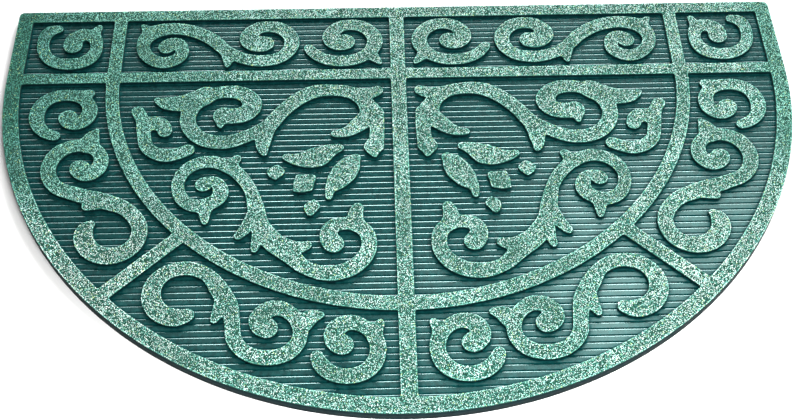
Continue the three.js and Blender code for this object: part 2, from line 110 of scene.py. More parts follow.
# Each light: its place, what it is aimed at, its size, all in metres, and its power in watts. The
# panels stand at different heights, because at one height they would hide each other in the gloss.
lamp("back_strip", (0.1, 1.5, 0.7), (0.1, -0.05, 0), (1.1, 0.5), 46)
lamp("left_strip", (-0.75, 1.5, 0.7), (0.0, -0.05, 0), (0.6, 0.5), 8)
lamp("right_strip", (0.85, 1.45, 0.7), (0.2, -0.05, 0), (0.5, 0.5), 12)
lamp("high_panel", (0.05, 1.25, 1.65), (0.05, 1.25, 0), (2.2, 1.4), 0.2)
lamp("front_panel", (0.3, 0.75, 1.57), (0.3, 0.75, 0), (0.6, 0.4), 1.7)
lamp("front_left_panel", (-0.5, 0.75, 1.59), (-0.5, 0.75, 0), (0.9, 0.4), 0.8)
lamp("right_panel", (0.85, 0.95, 1.61), (0.85, 0.95, 0), (0.9, 0.6), 6.8)
lamp("back_right_light", (0.95, 1.16, 1.6), (0.1, -0.05, 0), (0.4, 0.4), 12, glints=False)
lamp("near_light", (0.0, -0.5, 0.5), (0.0, -0.1, 0), (0.3, 0.2), 7.5, glints=False)
lamp("right_light", (0.6, -0.3, 0.6), (0.1, -0.05, 0), (0.3, 0.3), 7.5, glints=False)

sky = bpy.data.worlds.new("studio")
sky.use_nodes = True
sky_light = sky.node_tree.nodes["Background"]
sky_light.inputs["Color"].default_value = SKY_COLOUR
sky_light.inputs["Strength"].default_value = SKY_STRENGTH
bpy.context.scene.world = sky
bpy.context.scene.view_settings.view_transform = "Standard"


# The rubber sheet. The mat is one dark teal rubber moulding, and this is its floor: fine ribs along
# the straight edge, with flat tops and narrow grooves, and a flat underside on the ground. Sizes
# are in millimetres, with X along the straight edge and Y towards it from the middle of the plan.
MM = 0.001
MAT_WIDTH = 762.0
MAT_DEPTH = 457.2
SIDE_LENGTH = 89.8
BACK_EDGE = MAT_DEPTH / 2
CROSS_BAR_MIDDLE = BACK_EDGE - SIDE_LENGTH
ROUND_DEPTH = MAT_DEPTH - SIDE_LENGTH
RIB_PITCH = 6.42
FIRST_GROOVE = 201.35
RIB_WAVER = 0.06
SHEET_INSET = 0.5
SHEET_COLUMNS = 56
FRONT_TIP = 0.05

# One rib from the middle of its groove to the next: across, height.
RIB_SECTION = [
    (0.0, 5.6),
    (0.3, 5.7),
    (0.45, 6.64),
    (0.6, 6.715),
    (0.86, 6.82),
    (1.14, 6.91),
    (1.4, 6.977),
    (1.47, 6.991),
    (1.52, 6.997),
    (1.6, 7.0),
    (1.75, 7.0),
    (5.5, 7.0),
    (5.7, 7.0),
    (5.9, 6.9),
    (6.1, 5.7),
]

# Colours of the rubber, from its dark patches to its pale ones, with so many patches to a metre.
RUBBER_TONES = [
    (0.3, (0.0008, 0.0145, 0.0145)),
    (0.5, (0.0015, 0.026, 0.026)),
    (0.75, (0.0045, 0.044, 0.042)),
]
RUBBER_PATCHES = 240

# Painted shade on the gloss, in the grooves and beside the raised parts: the tint of the gloss by
# how open a place is to what stands within a short distance, in metres, darker where less open.
GLOSS_TINTS = [(0.72, (0.03, 0.09, 0.09)), (0.95, (0.6, 1.0, 0.95))]
GLOSS_SHADE_DISTANCE = 0.012
GLOSS_SHADE_SAMPLES = 8


def half_width(y, inset):
    """How far the plan, drawn in by an inset, reaches to either side of its middle line."""
    side = MAT_WIDTH / 2 - inset
    if y >= CROSS_BAR_MIDDLE:
        return side
    part = min(1.0, (CROSS_BAR_MIDDLE - y) / (ROUND_DEPTH - inset))
    return side * math.sqrt(1 - part * part)


def wavering(a, b, seed):
    """A smooth uneven value between about -1 and 1 for each pair of places in millimetres: four
    crossed waves, each shorter and weaker than the one before."""
    phase = np.random.default_rng(seed).uniform(0, 2 * math.pi, 8)
    value = np.sin(a / 37 + phase[0]) * np.sin(b / 23 + phase[1])
    value += 0.7 * np.sin(a / 13 + phase[2]) * np.sin(b / 17 + phase[3])
    value += 0.5 * np.sin((a + b) / 9 + phase[4]) * np.sin((a - b) / 7 + phase[5])
    value += 0.3 * np.sin(a / 4.1 + phase[6]) * np.sin(b / 3.7 + phase[7])
    return value / 1.6


def piece_of(name, points, faces, material, smooth=True):
    """A mesh in millimetres as a piece of the mat, in the shared frame."""
    mesh = bpy.data.meshes.new(name)
    mesh.from_pydata([tuple(MM * c for c in p) for p in points], [], faces)
    mesh.materials.append(material)
    mesh.validate()
    if smooth:
        mesh.shade_smooth()
    piece = bpy.data.objects.new(name, mesh)
    bpy.context.scene.collection.objects.link(piece)
    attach(piece, "root")
    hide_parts("doormat")
    return piece


def noise_at(tree, scale, detail=4.0, roughness=0.6):
    """Noise in the object's own coordinates, with scale in patches per metre."""
    place = tree.nodes.new("ShaderNodeTexCoord")
    noise = tree.nodes.new("ShaderNodeTexNoise")
    noise.inputs["Scale"].default_value = scale
    noise.inputs["Detail"].default_value = detail
    noise.inputs["Roughness"].default_value = roughness
    tree.links.new(place.outputs["Object"], noise.inputs["Vector"])
    return noise.outputs["Fac"]


def blend_of(tree, factor, stops):
    """Colours over a factor from 0 to 1, given by stops: position, colour."""
    ramp = tree.nodes.new("ShaderNodeValToRGB")
    ramp.color_ramp.elements[0].position = stops[0][0]
    ramp.color_ramp.elements[0].color = (*stops[0][1], 1)
    ramp.color_ramp.elements[1].position = stops[-1][0]
    ramp.color_ramp.elements[1].color = (*stops[-1][1], 1)
    for position, colour in stops[1:-1]:
        ramp.color_ramp.elements.new(position).color = (*colour, 1)
    tree.links.new(factor, ramp.inputs["Fac"])
    return ramp.outputs["Color"]


def mottled(name, tones, patches, detail=4.0, roughness=0.6):
    """A new material with its colour in uneven patches, so many to a metre, and its shader."""
    made, made_shader = shader(name)
    tree = made.node_tree
    colour = blend_of(tree, noise_at(tree, patches, detail, roughness), tones)
    tree.links.new(colour, made_shader.inputs["Base Color"])
    return made, made_shader


def grain_on(target, scale, strength, depth):
    """Fine bumps on a shader's surface, with scale in bumps per metre and depth in metres."""
    tree = target.id_data
    bump = tree.nodes.new("ShaderNodeBump")
    bump.inputs["Strength"].default_value = strength
    bump.inputs["Distance"].default_value = depth
    noise = noise_at(tree, scale, detail=3, roughness=0.7)
    tree.links.new(noise, bump.inputs["Height"])
    tree.links.new(bump.outputs["Normal"], target.inputs["Normal"])


rubber, rubber_shader = mottled("teal_rubber", RUBBER_TONES, RUBBER_PATCHES)
rubber_shader.inputs["Roughness"].default_value = 0.18
rubber_shader.inputs["Specular IOR Level"].default_value = 0.9
rubber_tree = rubber.node_tree
# Painted shade on the gloss where little around it is open.
openness = rubber_tree.nodes.new("ShaderNodeAmbientOcclusion")
openness.samples = GLOSS_SHADE_SAMPLES
openness.inputs["Distance"].default_value = GLOSS_SHADE_DISTANCE
gloss_tint = blend_of(rubber_tree, openness.outputs["AO"], GLOSS_TINTS)
rubber_tree.links.new(gloss_tint, rubber_shader.inputs["Specular Tint"])
grain_on(rubber_shader, scale=700, strength=0.1, depth=0.0002)

# The lines that run along the ribs, from the straight edge to the round front: place, height. The
# last one stops just short of the very front, where it still has some length.
groove = FIRST_GROOVE + RIB_PITCH * math.ceil((BACK_EDGE - FIRST_GROOVE) / RIB_PITCH)
lines = []
while groove > -BACK_EDGE - RIB_PITCH:
    lines += [(groove - across, height) for across, height in RIB_SECTION]
    groove -= RIB_PITCH
sheet_back = BACK_EDGE - SHEET_INSET
sheet_front = -BACK_EDGE + SHEET_INSET + FRONT_TIP
lines = [line for line in lines if sheet_front + FRONT_TIP < line[0] < sheet_back]
lines = [(sheet_back, lines[0][1]), *lines, (sheet_front, lines[-1][1])]

# The ribbed upper face. Every line has as many points as the next, and all but those at its edge
# waver a little in plan as well as in height.
columns = SHEET_COLUMNS + 1
line_y = np.array([y for y, height in lines])
line_z = np.array([height for y, height in lines])
reach = np.array([half_width(y, SHEET_INSET) for y in line_y])
sheet_x = reach[:, None] * np.linspace(-1, 1, columns)[None, :]
sheet_y = np.repeat(line_y[:, None], columns, 1)
sheet_z = line_z[:, None] + RIB_WAVER * wavering(sheet_x, sheet_y, seed=3)
free = np.zeros(sheet_x.shape)
free[1:-1, 1:-1] = 1
sheet_y = sheet_y + RIB_WAVER * wavering(sheet_x, sheet_y, seed=4) * free
points = [*zip(sheet_x.ravel(), sheet_y.ravel(), sheet_z.ravel())]
faces = []
for i in range(len(lines) - 1):
    for j in range(SHEET_COLUMNS):
        a = i * columns + j
        faces.append((a, a + columns, a + columns + 1, a + 1))

# The underside: the ends of every line again, on the ground, and long faces from end to end.
under = len(points)
for y, x in zip(line_y, reach):
    points += [(-x, y, 0.0), (x, y, 0.0)]
for i in range(len(lines) - 1):
    left, right = under + 2 * i, under + 2 * i + 1
    faces.append((left, right, right + 2, left + 2))
    faces.append((i * columns, left, left + 2, (i + 1) * columns))
    faces.append(((i + 1) * columns - 1, (i + 2) * columns - 1, right + 2, right))

# The upright faces at the straight edge and at the very front.
front_line = (len(lines) - 1) * columns
front_under = under + 2 * (len(lines) - 1)
faces.append((*range(columns), under + 1, under))
faces.append((front_under, front_under + 1, *reversed(range(front_line, front_line + columns))))
ribbed_sheet = piece_of("ribbed_sheet", points, faces, rubber)


# The raised frame: a border all round, a bar down the middle, a bar across, an arch that stands on
# the straight edge and two slanting struts. They are moulded with the sheet, with upright rubber
# sides, and their tops are faced with a short heathered pile.
BORDER_WIDTH = 15.0
BACK_BORDER_WIDTH = 13.8
CORNER_RADIUS = 5.0
CORNER_STEPS = 6
CENTRE_BAR_WIDTH = 14.6
CROSS_BAR_WIDTH = 12.6
ARCH_HALF_WIDTH = 277.4
ARCH_DEPTH = 262.6
ARCH_SIDE_WIDTH = 13.0
ARCH_FRONT_WIDTH = 14.6
STRUT_WIDTH = 14.0
STRUT = ((-200.0, -51.0), (-268.0, -115.0))

# Middle lines of the border, on which the arch and both bars end.
BACK_MIDDLE = BACK_EDGE - BACK_BORDER_WIDTH / 2
SIDE_MIDDLE = MAT_WIDTH / 2 - BORDER_WIDTH / 2
FRONT_MIDDLE = BACK_EDGE - MAT_DEPTH + BORDER_WIDTH / 2

# The side of a raised part from its root up: inset, height. The root's height is given apart.
FRAME_ROOT = 0.2
RUBBER_SIDE = [(-0.35, None), (-0.1, 7.4), (0.0, 9.3)]
PILE_SIDE = [(0.0, 9.4), (0.15, 9.8), (0.55, 10.0), (1.1, 10.05)]
# Colours of the upright rubber sides, darker than the sheet's own rubber: painted shade.
SHADED_SIDE_TONES = [(0.3, (0.0012, 0.008, 0.0095)), (0.75, (0.004, 0.021, 0.024))]

# The backing that the pile stands on: how far its edge and its middle are uneven, and above what
# height the edge is, how much higher its middle is, and how its inner points are spaced.
EDGE_WAVER = 0.06
EDGE_WAVERS_ABOVE = 9
BACKING_WAVER = 0.12
BACKING_CROWN = 0.05
BACKING_PITCH = 4.5
BACKING_MARGIN = 1.4
# Colours of the backing: its own colour, darkened so that the gaps between the tufts hold painted
# shade.
BACKING_TONES = [
    (0.3, (0.002, 0.018, 0.012)),
    (0.55, (0.012, 0.06, 0.042)),
    (0.75, (0.04, 0.13, 0.1)),
]
BACKING_PATCHES = 1100

# The pile: tufts in a field over the top and in one row round its rim, with a foot below the
# backing. Widths are times the half width, and lean is how far a tip stands out over its foot.
PILE_TOP = 10.9
TUFT_FOOT = 9.9
TUFT_PITCH = 1.1
TUFT_HALF_WIDTH = 0.69
TUFT_WIDTHS = (0.8, 1.15)
TUFT_LEAN = 0.35
TUFT_UNEVENNESS = 0.5
FIELD_INSET = 1.0
FIELD_MARGIN = 0.1
RIM_INSET = 0.75
RIM_SCATTER = 0.2

# Colours of the heathered pile by the tone of a tuft, from the darkest to the palest, greener and
# bluer by turns as in a mixed yarn, and the yellowish ones at the end.
HEATHER = [
    (0.0, (0.002, 0.042, 0.018)),
    (0.05, (0.006, 0.058, 0.063)),
    (0.12, (0.018, 0.145, 0.08)),
    (0.25, (0.062, 0.255, 0.245)),
    (0.4, (0.14, 0.475, 0.335)),
    (0.55, (0.29, 0.625, 0.6)),
    (0.7, (0.42, 0.86, 0.68)),
    (0.85, (0.7, 0.96, 0.94)),
    (0.95, (0.88, 1.0, 0.94)),
    (1.0, (0.6, 0.8, 0.35)),
]
PALEST = 0.95
YELLOWISH = 1.0
YELLOWISH_SHARE = 0.02

# How the tones are spread. In the field most lie near one end or the other, and on the rim they are
# even from the first tone to the last.
FIELD_TONES = (0.3, 0.35)
RIM_TONES = (0.15, 0.9)

# Painted shade and light by place, with where each change starts and where it is full: the pile is
# painted darker to the left back and along the outer edges behind the middle, as shade, and paler
# towards both sides in front, as light.
LEFT_BACK_X = (100, 380)
LEFT_BACK_Y = (-140, 110)
LEFT_BACK_PAINTED_SHADE = 0.4
OUTER_EDGE_X = (345, 365)
OUTER_EDGE_PAINTED_SHADE = 0.2
FRONT_SIDES_X = (160, 280)
FRONT_SIDES_Y = (-10, 90)
FRONT_SIDES_PAINTED_LIGHT = 0.35

# Spacing of the points along an outline and the fewest of them, the distance below which two points
# of a plan are one, and what a plan is split into triangles for: what lies inside its outlines.
EDGE_STEP = 1.7
FEWEST_POINTS = 8
ONE_POINT = 1e-4
INSIDE = 1


def front_curve(half, depth, steps=240):
    """Front half of an ellipse about the cross bar's middle, from the left end to the right one."""
    turns = [math.pi * (1 + i / steps) for i in range(steps + 1)]
    return [(half * math.cos(a), CROSS_BAR_MIDDLE + depth * math.sin(a)) for a in turns]


def mat_outline(inset, back_inset, corner):
    """Plan of the mat, drawn in from its sides and its back, with round back corners."""
    side, back = MAT_WIDTH / 2 - inset, BACK_EDGE - back_inset
    outline = front_curve(side, ROUND_DEPTH - inset)
    for sign, start in ((1, 0), (-1, 90)):
        for step in range(CORNER_STEPS + 1 if corner else 1):
            turn = math.radians(start + step * 90 / CORNER_STEPS)
            x = sign * (side - corner) + corner * math.cos(turn)
            outline.append((x, back - corner + corner * math.sin(turn)))
    return outline


def bar(start, end, width):
    """Plan of a straight bar."""
    along = (Vector(end) - Vector(start)).normalized()
    side = Vector((-along.y, along.x)) * width / 2
    corners = [Vector(start) - side, Vector(end) - side, Vector(end) + side, Vector(start) + side]
    return [tuple(corner) for corner in corners]


def outlines(plates, rings=()):
    """Outlines of what plates and rings, pairs of an outer and an inner plate, cover together: they
    run anticlockwise round it and clockwise round each opening."""
    every = [*plates, *(plate for ring in rings for plate in ring)]
    corners = [Vector(point) for plate in every for point in plate]
    loops, start = [], 0
    for plate in every:
        loops.append(list(range(start, start + len(plate))))
        start += len(plate)
    places, _, triangles, _, _, sources = delaunay_2d_cdt(corners, [], loops, INSIDE, ONE_POINT)
    edges = set()
    for triangle, source in zip(triangles, sources):
        inside = any(i < len(plates) for i in source)
        for k in range(len(rings)):
            outer = len(plates) + 2 * k
            inside = inside or (outer in source and outer + 1 not in source)
        if inside:
            edges.update(zip(triangle, [*triangle[1:], triangle[0]]))
    following = {}
    for a, b in edges:
        if (b, a) not in edges:
            following.setdefault(a, []).append(b)
    found = []
    while following:
        vertex = min(following)
        loop = []
        while vertex in following:
            loop.append(places[vertex])
            ways = following[vertex]
            after = ways.pop()
            if not ways:
                del following[vertex]
            vertex = after
        found.append(np.array([tuple(p) for p in loop]))
    return found


def evened(loop, step=EDGE_STEP, softenings=2):
    """A closed outline with its points an even step apart and its corners slightly eased."""
    closed = np.vstack([loop, loop[:1]])
    lengths = np.r_[0, np.cumsum(np.hypot(*np.diff(closed, axis=0).T))]
    count = max(FEWEST_POINTS, round(lengths[-1] / step))
    along = np.linspace(0, lengths[-1], count, endpoint=False)
    even = np.c_[np.interp(along, lengths, closed[:, 0]), np.interp(along, lengths, closed[:, 1])]
    for _ in range(softenings):
        even = (np.roll(even, 1, 0) + 2 * even + np.roll(even, -1, 0)) / 4
    return even


def drawn_in(loop, inset, straight=1e-3, room=0.7):
    """An outline moved towards what it goes round. In a bend it moves by no more than some of the
    radius, its room, and below a small turn at a point it counts as straight."""
    before, after = np.roll(loop, 1, 0), np.roll(loop, -1, 0)
    along = after - before
    length = np.hypot(*along.T)
    along = along / length[:, None]
    here, there = loop - before, after - loop
    turn = np.arctan2(
        here[:, 0] * there[:, 1] - here[:, 1] * there[:, 0], (here * there).sum(1)
    )
    radius = np.where(turn > straight, length / 2 / np.maximum(turn, straight), 1 / straight)
    most = room * np.minimum(radius, np.minimum(np.roll(radius, 1), np.roll(radius, -1)))
    reach = np.minimum(inset, most) if inset > 0 else np.full(len(loop), inset)
    return loop + np.c_[-along[:, 1], along[:, 0]] * reach[:, None]


def crossings(loops, y):
    """Where a line along X crosses a set of outlines, from left to right."""
    found = []
    for loop in loops:
        after = np.roll(loop, -1, 0)
        cut = (loop[:, 1] <= y) != (after[:, 1] <= y)
        a, b = loop[cut], after[cut]
        found.append(a[:, 0] + (y - a[:, 1]) / (b[:, 1] - a[:, 1]) * (b[:, 0] - a[:, 0]))
    return np.sort(np.concatenate(found))


def spread(loops, pitch, margin, seed, row_share=0.87, scatter=0.3):
    """Points spread inside outlines in staggered rows, each moved about by a share of the pitch."""
    chance = np.random.default_rng(seed)
    low = min(loop[:, 1].min() for loop in loops)
    high = max(loop[:, 1].max() for loop in loops)
    found = []
    for row, y in enumerate(np.arange(low + margin, high - margin, pitch * row_share)):
        ends = crossings(loops, y)
        for left, right in zip(ends[::2], ends[1::2]):
            x = np.arange(left + margin + pitch * (row % 2) / 2, right - margin, pitch)
            found.append(np.c_[x, np.full(len(x), y)])
    found = np.vstack(found)
    return found + chance.uniform(-scatter, scatter, found.shape) * pitch


def cap(rings, free_points, first_free):
    """Triangles that close a level between rings. Each ring is its points and their numbers in the
    mesh, and the free points between the rings are numbered from first_free."""
    corners, numbers, loops = [], [], []
    for ring, ring_numbers in rings:
        loops.append(list(range(len(corners), len(corners) + len(ring))))
        corners += [Vector(point) for point in ring]
        numbers += list(ring_numbers)
    corners += [Vector(point) for point in free_points]
    numbers += list(range(first_free, first_free + len(free_points)))
    _, _, triangles, origins, _, sources = delaunay_2d_cdt(corners, [], loops, INSIDE, ONE_POINT)
    number_of = [numbers[origin[0]] if origin else None for origin in origins]
    closing = []
    for triangle, source in zip(triangles, sources):
        named = [number_of[v] for v in triangle]
        if len(source) % 2 and None not in named:
            closing.append(tuple(named))
    return closing


def raised_part(name, loops, root, seed):
    """A raised part with rubber sides, and a soft-edged top for the pile to stand on."""
    side = [(inset, root if height is None else height) for inset, height in RUBBER_SIDE]
    levels = side + PILE_SIDE
    points, faces, tops, feet = [], [], [], []
    material_of = []
    for loop in loops:
        first = len(points)
        count = len(loop)
        for inset, height in levels:
            ring = drawn_in(loop, inset)
            lift = EDGE_WAVER * wavering(ring[:, 0], ring[:, 1], seed)
            points += [*zip(ring[:, 0], ring[:, 1], height + lift * (height > EDGE_WAVERS_ABOVE))]
        for level in range(len(levels) - 1):
            low, high = first + level * count, first + (level + 1) * count
            for i in range(count):
                after = (i + 1) % count
                faces.append((low + i, low + after, high + after, high + i))
                material_of.append(int(level >= len(side) - 1))
        last = first + (len(levels) - 1) * count
        tops.append((drawn_in(loop, levels[-1][0]), range(last, last + count)))
        feet.append((drawn_in(loop, levels[0][0]), range(first, first + count)))
    inner = spread([ring for ring, numbers in tops], BACKING_PITCH, BACKING_MARGIN, seed)
    first_inner = len(points)
    lift = BACKING_WAVER * wavering(inner[:, 0], inner[:, 1], seed)
    points += [*zip(inner[:, 0], inner[:, 1], levels[-1][1] + BACKING_CROWN + lift)]
    top = cap(tops, inner, first_inner)
    foot = [tuple(reversed(triangle)) for triangle in cap(feet, [], 0)]
    faces += top + foot
    material_of += [1] * len(top) + [0] * len(foot)
    piece = piece_of(name, points, faces, side_rubber)
    piece.data.materials.append(pile_backing)
    piece.data.polygons.foreach_set("material_index", material_of)
    return piece


def come_from(value, start, end):
    """How far a value has come from a start to an end, from 0 to 1."""
    return np.clip((value - start) / (end - start), 0, 1)


def painted_light_at(x, y):
    """What the tone of a tuft is multiplied by at its place on the mat: painted light and shade."""
    left_back = come_from(-x, *LEFT_BACK_X) * come_from(y, *LEFT_BACK_Y)
    outer_edge = come_from(np.abs(x), *OUTER_EDGE_X) * (y > 0)
    front_sides = come_from(np.abs(x), *FRONT_SIDES_X) * come_from(-y, *FRONT_SIDES_Y)
    darker = LEFT_BACK_PAINTED_SHADE * left_back + OUTER_EDGE_PAINTED_SHADE * outer_edge
    return 1 - darker + FRONT_SIDES_PAINTED_LIGHT * front_sides


def pile_on(name, loops, seed):
    """Short tufts over the tops of raised parts, each a squat leaning tip with its own tone."""
    chance = np.random.default_rng(seed)
    field = spread([drawn_in(loop, FIELD_INSET) for loop in loops], TUFT_PITCH, FIELD_MARGIN, seed)
    rim = np.vstack([drawn_in(evened(loop, TUFT_PITCH, softenings=0), RIM_INSET) for loop in loops])
    rim += chance.uniform(-RIM_SCATTER, RIM_SCATTER, rim.shape)
    place = np.vstack([field, rim])
    count = len(place)
    tips = PILE_TOP - chance.uniform(0.0, TUFT_UNEVENNESS, count)
    turn = chance.uniform(0, 2 * math.pi, count)
    wide = TUFT_HALF_WIDTH * chance.uniform(*TUFT_WIDTHS, count)

    # Each tuft has three points at its foot and one at its tip, and three faces between them.
    points = np.empty((count, 4, 3))
    for k in range(3):
        points[:, k, 0] = place[:, 0] + wide * np.cos(turn + k * 2 * math.pi / 3)
        points[:, k, 1] = place[:, 1] + wide * np.sin(turn + k * 2 * math.pi / 3)
        points[:, k, 2] = TUFT_FOOT
    points[:, 3, :2] = place + chance.uniform(-TUFT_LEAN, TUFT_LEAN, (count, 2))
    points[:, 3, 2] = tips
    first = 4 * np.arange(count)[:, None]
    faces = np.concatenate([first + [[k, (k + 1) % 3, 3]] for k in range(3)], 1).reshape(-1, 3)
    piece = piece_of(name, points.reshape(-1, 3), faces.tolist(), tuft_fibre, smooth=False)

    tones = PALEST * chance.beta(*FIELD_TONES, count)
    tones[len(field) :] = chance.uniform(*RIM_TONES, len(rim))
    # Painted shade and light by place darken or pale the tones.
    tones = np.minimum(tones * painted_light_at(*place.T), PALEST)
    tones[chance.uniform(0, 1, count) > 1 - YELLOWISH_SHARE] = YELLOWISH
    tone_of_points = piece.data.attributes.new("tone", "FLOAT", "POINT")
    tone_of_points.data.foreach_set("value", np.repeat(tones, 4))
    return piece


def arch_plate(sign):
    """Plan of all that the arch and its legs go round: 1 for their outer edge, -1 for the inner."""
    half = ARCH_HALF_WIDTH + sign * ARCH_SIDE_WIDTH / 2
    curve = front_curve(half, ARCH_DEPTH + sign * ARCH_FRONT_WIDTH / 2)
    return [*curve, (half, BACK_MIDDLE + sign), (-half, BACK_MIDDLE + sign)]


# The rubber of the upright sides, darkened with painted shade.
side_rubber, side_shader = mottled("matt_rubber_side_painted_shade", SHADED_SIDE_TONES, RUBBER_PATCHES)
side_shader.inputs["Roughness"].default_value = 0.6
side_shader.inputs["Specular IOR Level"].default_value = 0.03
grain_on(side_shader, scale=700, strength=0.3, depth=0.0003)

pile_backing, backing_shader = mottled(
    "pile_backing", BACKING_TONES, BACKING_PATCHES, detail=2, roughness=0.8
)
backing_shader.inputs["Roughness"].default_value = 0.95
grain_on(backing_shader, scale=1400, strength=0.8, depth=0.0006)

tuft_fibre, tuft_shader = shader("heathered_pile")
tuft_tree = tuft_fibre.node_tree
tone = tuft_tree.nodes.new("ShaderNodeAttribute")
tone.attribute_name = "tone"
tuft_colour = blend_of(tuft_tree, tone.outputs["Fac"], HEATHER)
tuft_tree.links.new(tuft_colour, tuft_shader.inputs["Base Color"])
tuft_shader.inputs["Roughness"].default_value = 0.9
tuft_shader.inputs["Specular IOR Level"].default_value = 0.15
tuft_shader.inputs["Sheen Weight"].default_value = 0.04
tuft_shader.inputs["Sheen Roughness"].default_value = 0.5
grain_on(tuft_shader, scale=2600, strength=0.5, depth=0.0003)

frame_outlines = outlines(
    [
        bar((0, BACK_MIDDLE), (0, FRONT_MIDDLE), CENTRE_BAR_WIDTH),
        bar((-SIDE_MIDDLE, CROSS_BAR_MIDDLE), (SIDE_MIDDLE, CROSS_BAR_MIDDLE), CROSS_BAR_WIDTH),
        bar(*STRUT, STRUT_WIDTH),
        bar(*[(-x, y) for x, y in STRUT], STRUT_WIDTH),
    ],
    [
        (mat_outline(0, 0, CORNER_RADIUS), mat_outline(BORDER_WIDTH, BACK_BORDER_WIDTH, 0)),
        (arch_plate(1), arch_plate(-1)),
    ],
)
frame_loops = [evened(loop, softenings=1) for loop in frame_outlines]
raised_frame = raised_part("raised_frame", frame_loops, FRAME_ROOT, seed=11)
frame_pile = pile_on("frame_pile", frame_loops, seed=12)


# The scrollwork: curled strips with spurs, in wrought-iron fashion, mirrored left and right, first
# those of the band between the straight edge and the cross bar. They are part of the same moulding
# as the frame, are rooted in the ribs and carry the same pile.
SCROLL_ROOT = 4.5
SPAN_STEPS = 10
ROUND_END_STEPS = 28

# How much of a bend's radius the inner half of a strip may fill, and the bend that a straight
# stretch is given.
BEND_SHARE = 0.97
LEAST_BEND = 1e-6


def headings(stations):
    """Direction at each station of a strip, that of the circle through it and its neighbours."""
    chords = np.diff(np.array(stations, float)[:, :2], axis=0)
    ahead = [math.atan2(y, x) for x, y in chords]
    if len(ahead) == 1:
        return [ahead[0], ahead[0]]
    eased = chords / (chords**2).sum(1)[:, None]
    middle = [math.atan2(y, x) for x, y in eased[:-1] + eased[1:]]
    return [2 * ahead[0] - middle[0], *middle, 2 * ahead[-1] - middle[-1]]


def middle_line(stations):
    """Points of a strip's middle line, each with its direction and half its width there."""
    turns = headings(stations)
    line = []
    for i, (start, end) in enumerate(zip(stations, stations[1:])):
        a, b = np.array(start[:2], float), np.array(end[:2], float)
        turn = math.remainder(turns[i + 1] - turns[i], 2 * math.pi)
        handle = math.dist(a, b) / 3 / math.cos(turn / 4) ** 2
        out = np.array([math.cos(turns[i]), math.sin(turns[i])])
        back = np.array([math.cos(turns[i + 1]), math.sin(turns[i + 1])])
        holds = np.array([a, a + handle * out, b - handle * back, b])
        for step in range(min(i, 1), SPAN_STEPS + 1):
            t = step / SPAN_STEPS
            u = 1 - t
            here = np.array([u**3, 3 * u * u * t, 3 * u * t * t, t**3]) @ holds
            along = np.array([-u * u, u * u - 2 * u * t, 2 * u * t - t * t, t * t]) @ holds
            line.append((here, along / np.hypot(*along), (start[2] * u + end[2] * t) / 2))
    return line


def strip(stations):
    """Small overlapping plates that cover a strip with round ends."""
    line = middle_line(stations)
    edges = []
    for i, (here, along, half) in enumerate(line):
        before, after = line[max(i - 1, 0)], line[min(i + 1, len(line) - 1)]
        bend = before[1][0] * after[1][1] - before[1][1] * after[1][0]
        radius = math.dist(before[0], after[0]) / max(abs(bend), LEAST_BEND)
        inner = min(half, BEND_SHARE * radius)
        left, right = (inner, half) if bend > 0 else (half, inner)
        across = np.array([-along[1], along[0]])
        edges.append((Vector(here + across * left), Vector(here - across * right)))
    plates = []
    for first, second in zip(edges, edges[1:]):
        corners = [*first, *second]
        plates.append([tuple(corners[k]) for k in convex_hull_2d(corners)])
    turns = [2 * math.pi * k / ROUND_END_STEPS for k in range(ROUND_END_STEPS)]
    for (x, y), _, half in (line[0], line[-1]):
        plates.append([(x + half * math.cos(turn), y + half * math.sin(turn)) for turn in turns])
    return plates


def mirrored(loops):
    """Mirror images of outlines, which run the same way round."""
    return [(loop * [-1, 1])[::-1] for loop in loops]


def both_sides(*scrolls):
    """Outlines of scrolls on the left, and of their mirror images on the right."""
    loops = []
    for strips in scrolls:
        plates = [plate for stations in strips for plate in strip(stations)]
        loops += [evened(loop) for loop in outlines(plates)]
    return loops + mirrored(loops)


# Stations along the middle line of each strip on the left: x, y, width.
CORNER_SCROLL = [
    [
        (-339, 205, 10), (-347.5, 202, 14), (-352, 187, 12), (-343.5, 165, 12.5),
        (-322, 157.7, 14.5), (-303.2, 165.2, 14.5), (-298.5, 180, 12), (-302.5, 193, 14),
        (-312.5, 197.2, 15.5), (-321, 191, 18), (-322, 182, 19),
    ],
    [
        (-303, 195, 12), (-298.5, 207, 7),
    ],
]
BAND_DOUBLE_SCROLL = [
    [
        (-229, 178.5, 17.4), (-221, 183, 15.5), (-213, 172, 13), (-227, 158, 14.5),
        (-246.5, 166, 13.5), (-252.5, 180, 13), (-244.5, 197.8, 17.5), (-229, 203, 15.5),
        (-205, 199.7, 15), (-185, 188.3, 15), (-168, 171, 13.5), (-152, 161.5, 13.5),
        (-135, 158, 14.7), (-111, 166.5, 14), (-104.7, 182, 15.3), (-113.5, 199.2, 15),
        (-128, 204.2, 14.7), (-143.5, 199, 15.5), (-147.5, 188, 20), (-141.5, 181.5, 21),
        (-132, 181, 19.4),
    ],
    [
        (-249, 201, 12), (-255, 208, 5),
    ],
    [
        (-168, 170, 15), (-167.3, 160, 11), (-167.8, 152.5, 5.5),
    ],
]
BAND_SCROLL = [
    [
        (-87.8, 173.8, 10.5), (-80, 164.3, 12.5), (-57, 156, 13.7), (-30.5, 165, 13.5),
        (-22, 182, 15.8), (-29.3, 198.2, 14.7), (-47, 205, 14), (-62, 198.5, 15),
        (-65.5, 187, 18.5), (-60.5, 181.5, 20), (-52, 181.7, 20.2),
    ],
    [
        (-27, 165, 13), (-20.5, 157, 8.5), (-17.3, 153, 5),
    ],
]

band_loops = both_sides(CORNER_SCROLL, BAND_DOUBLE_SCROLL, BAND_SCROLL)
band_scrolls = raised_part("band_scrolls", band_loops, SCROLL_ROOT, seed=21)
band_pile = pile_on("band_scroll_pile", band_loops, seed=22)


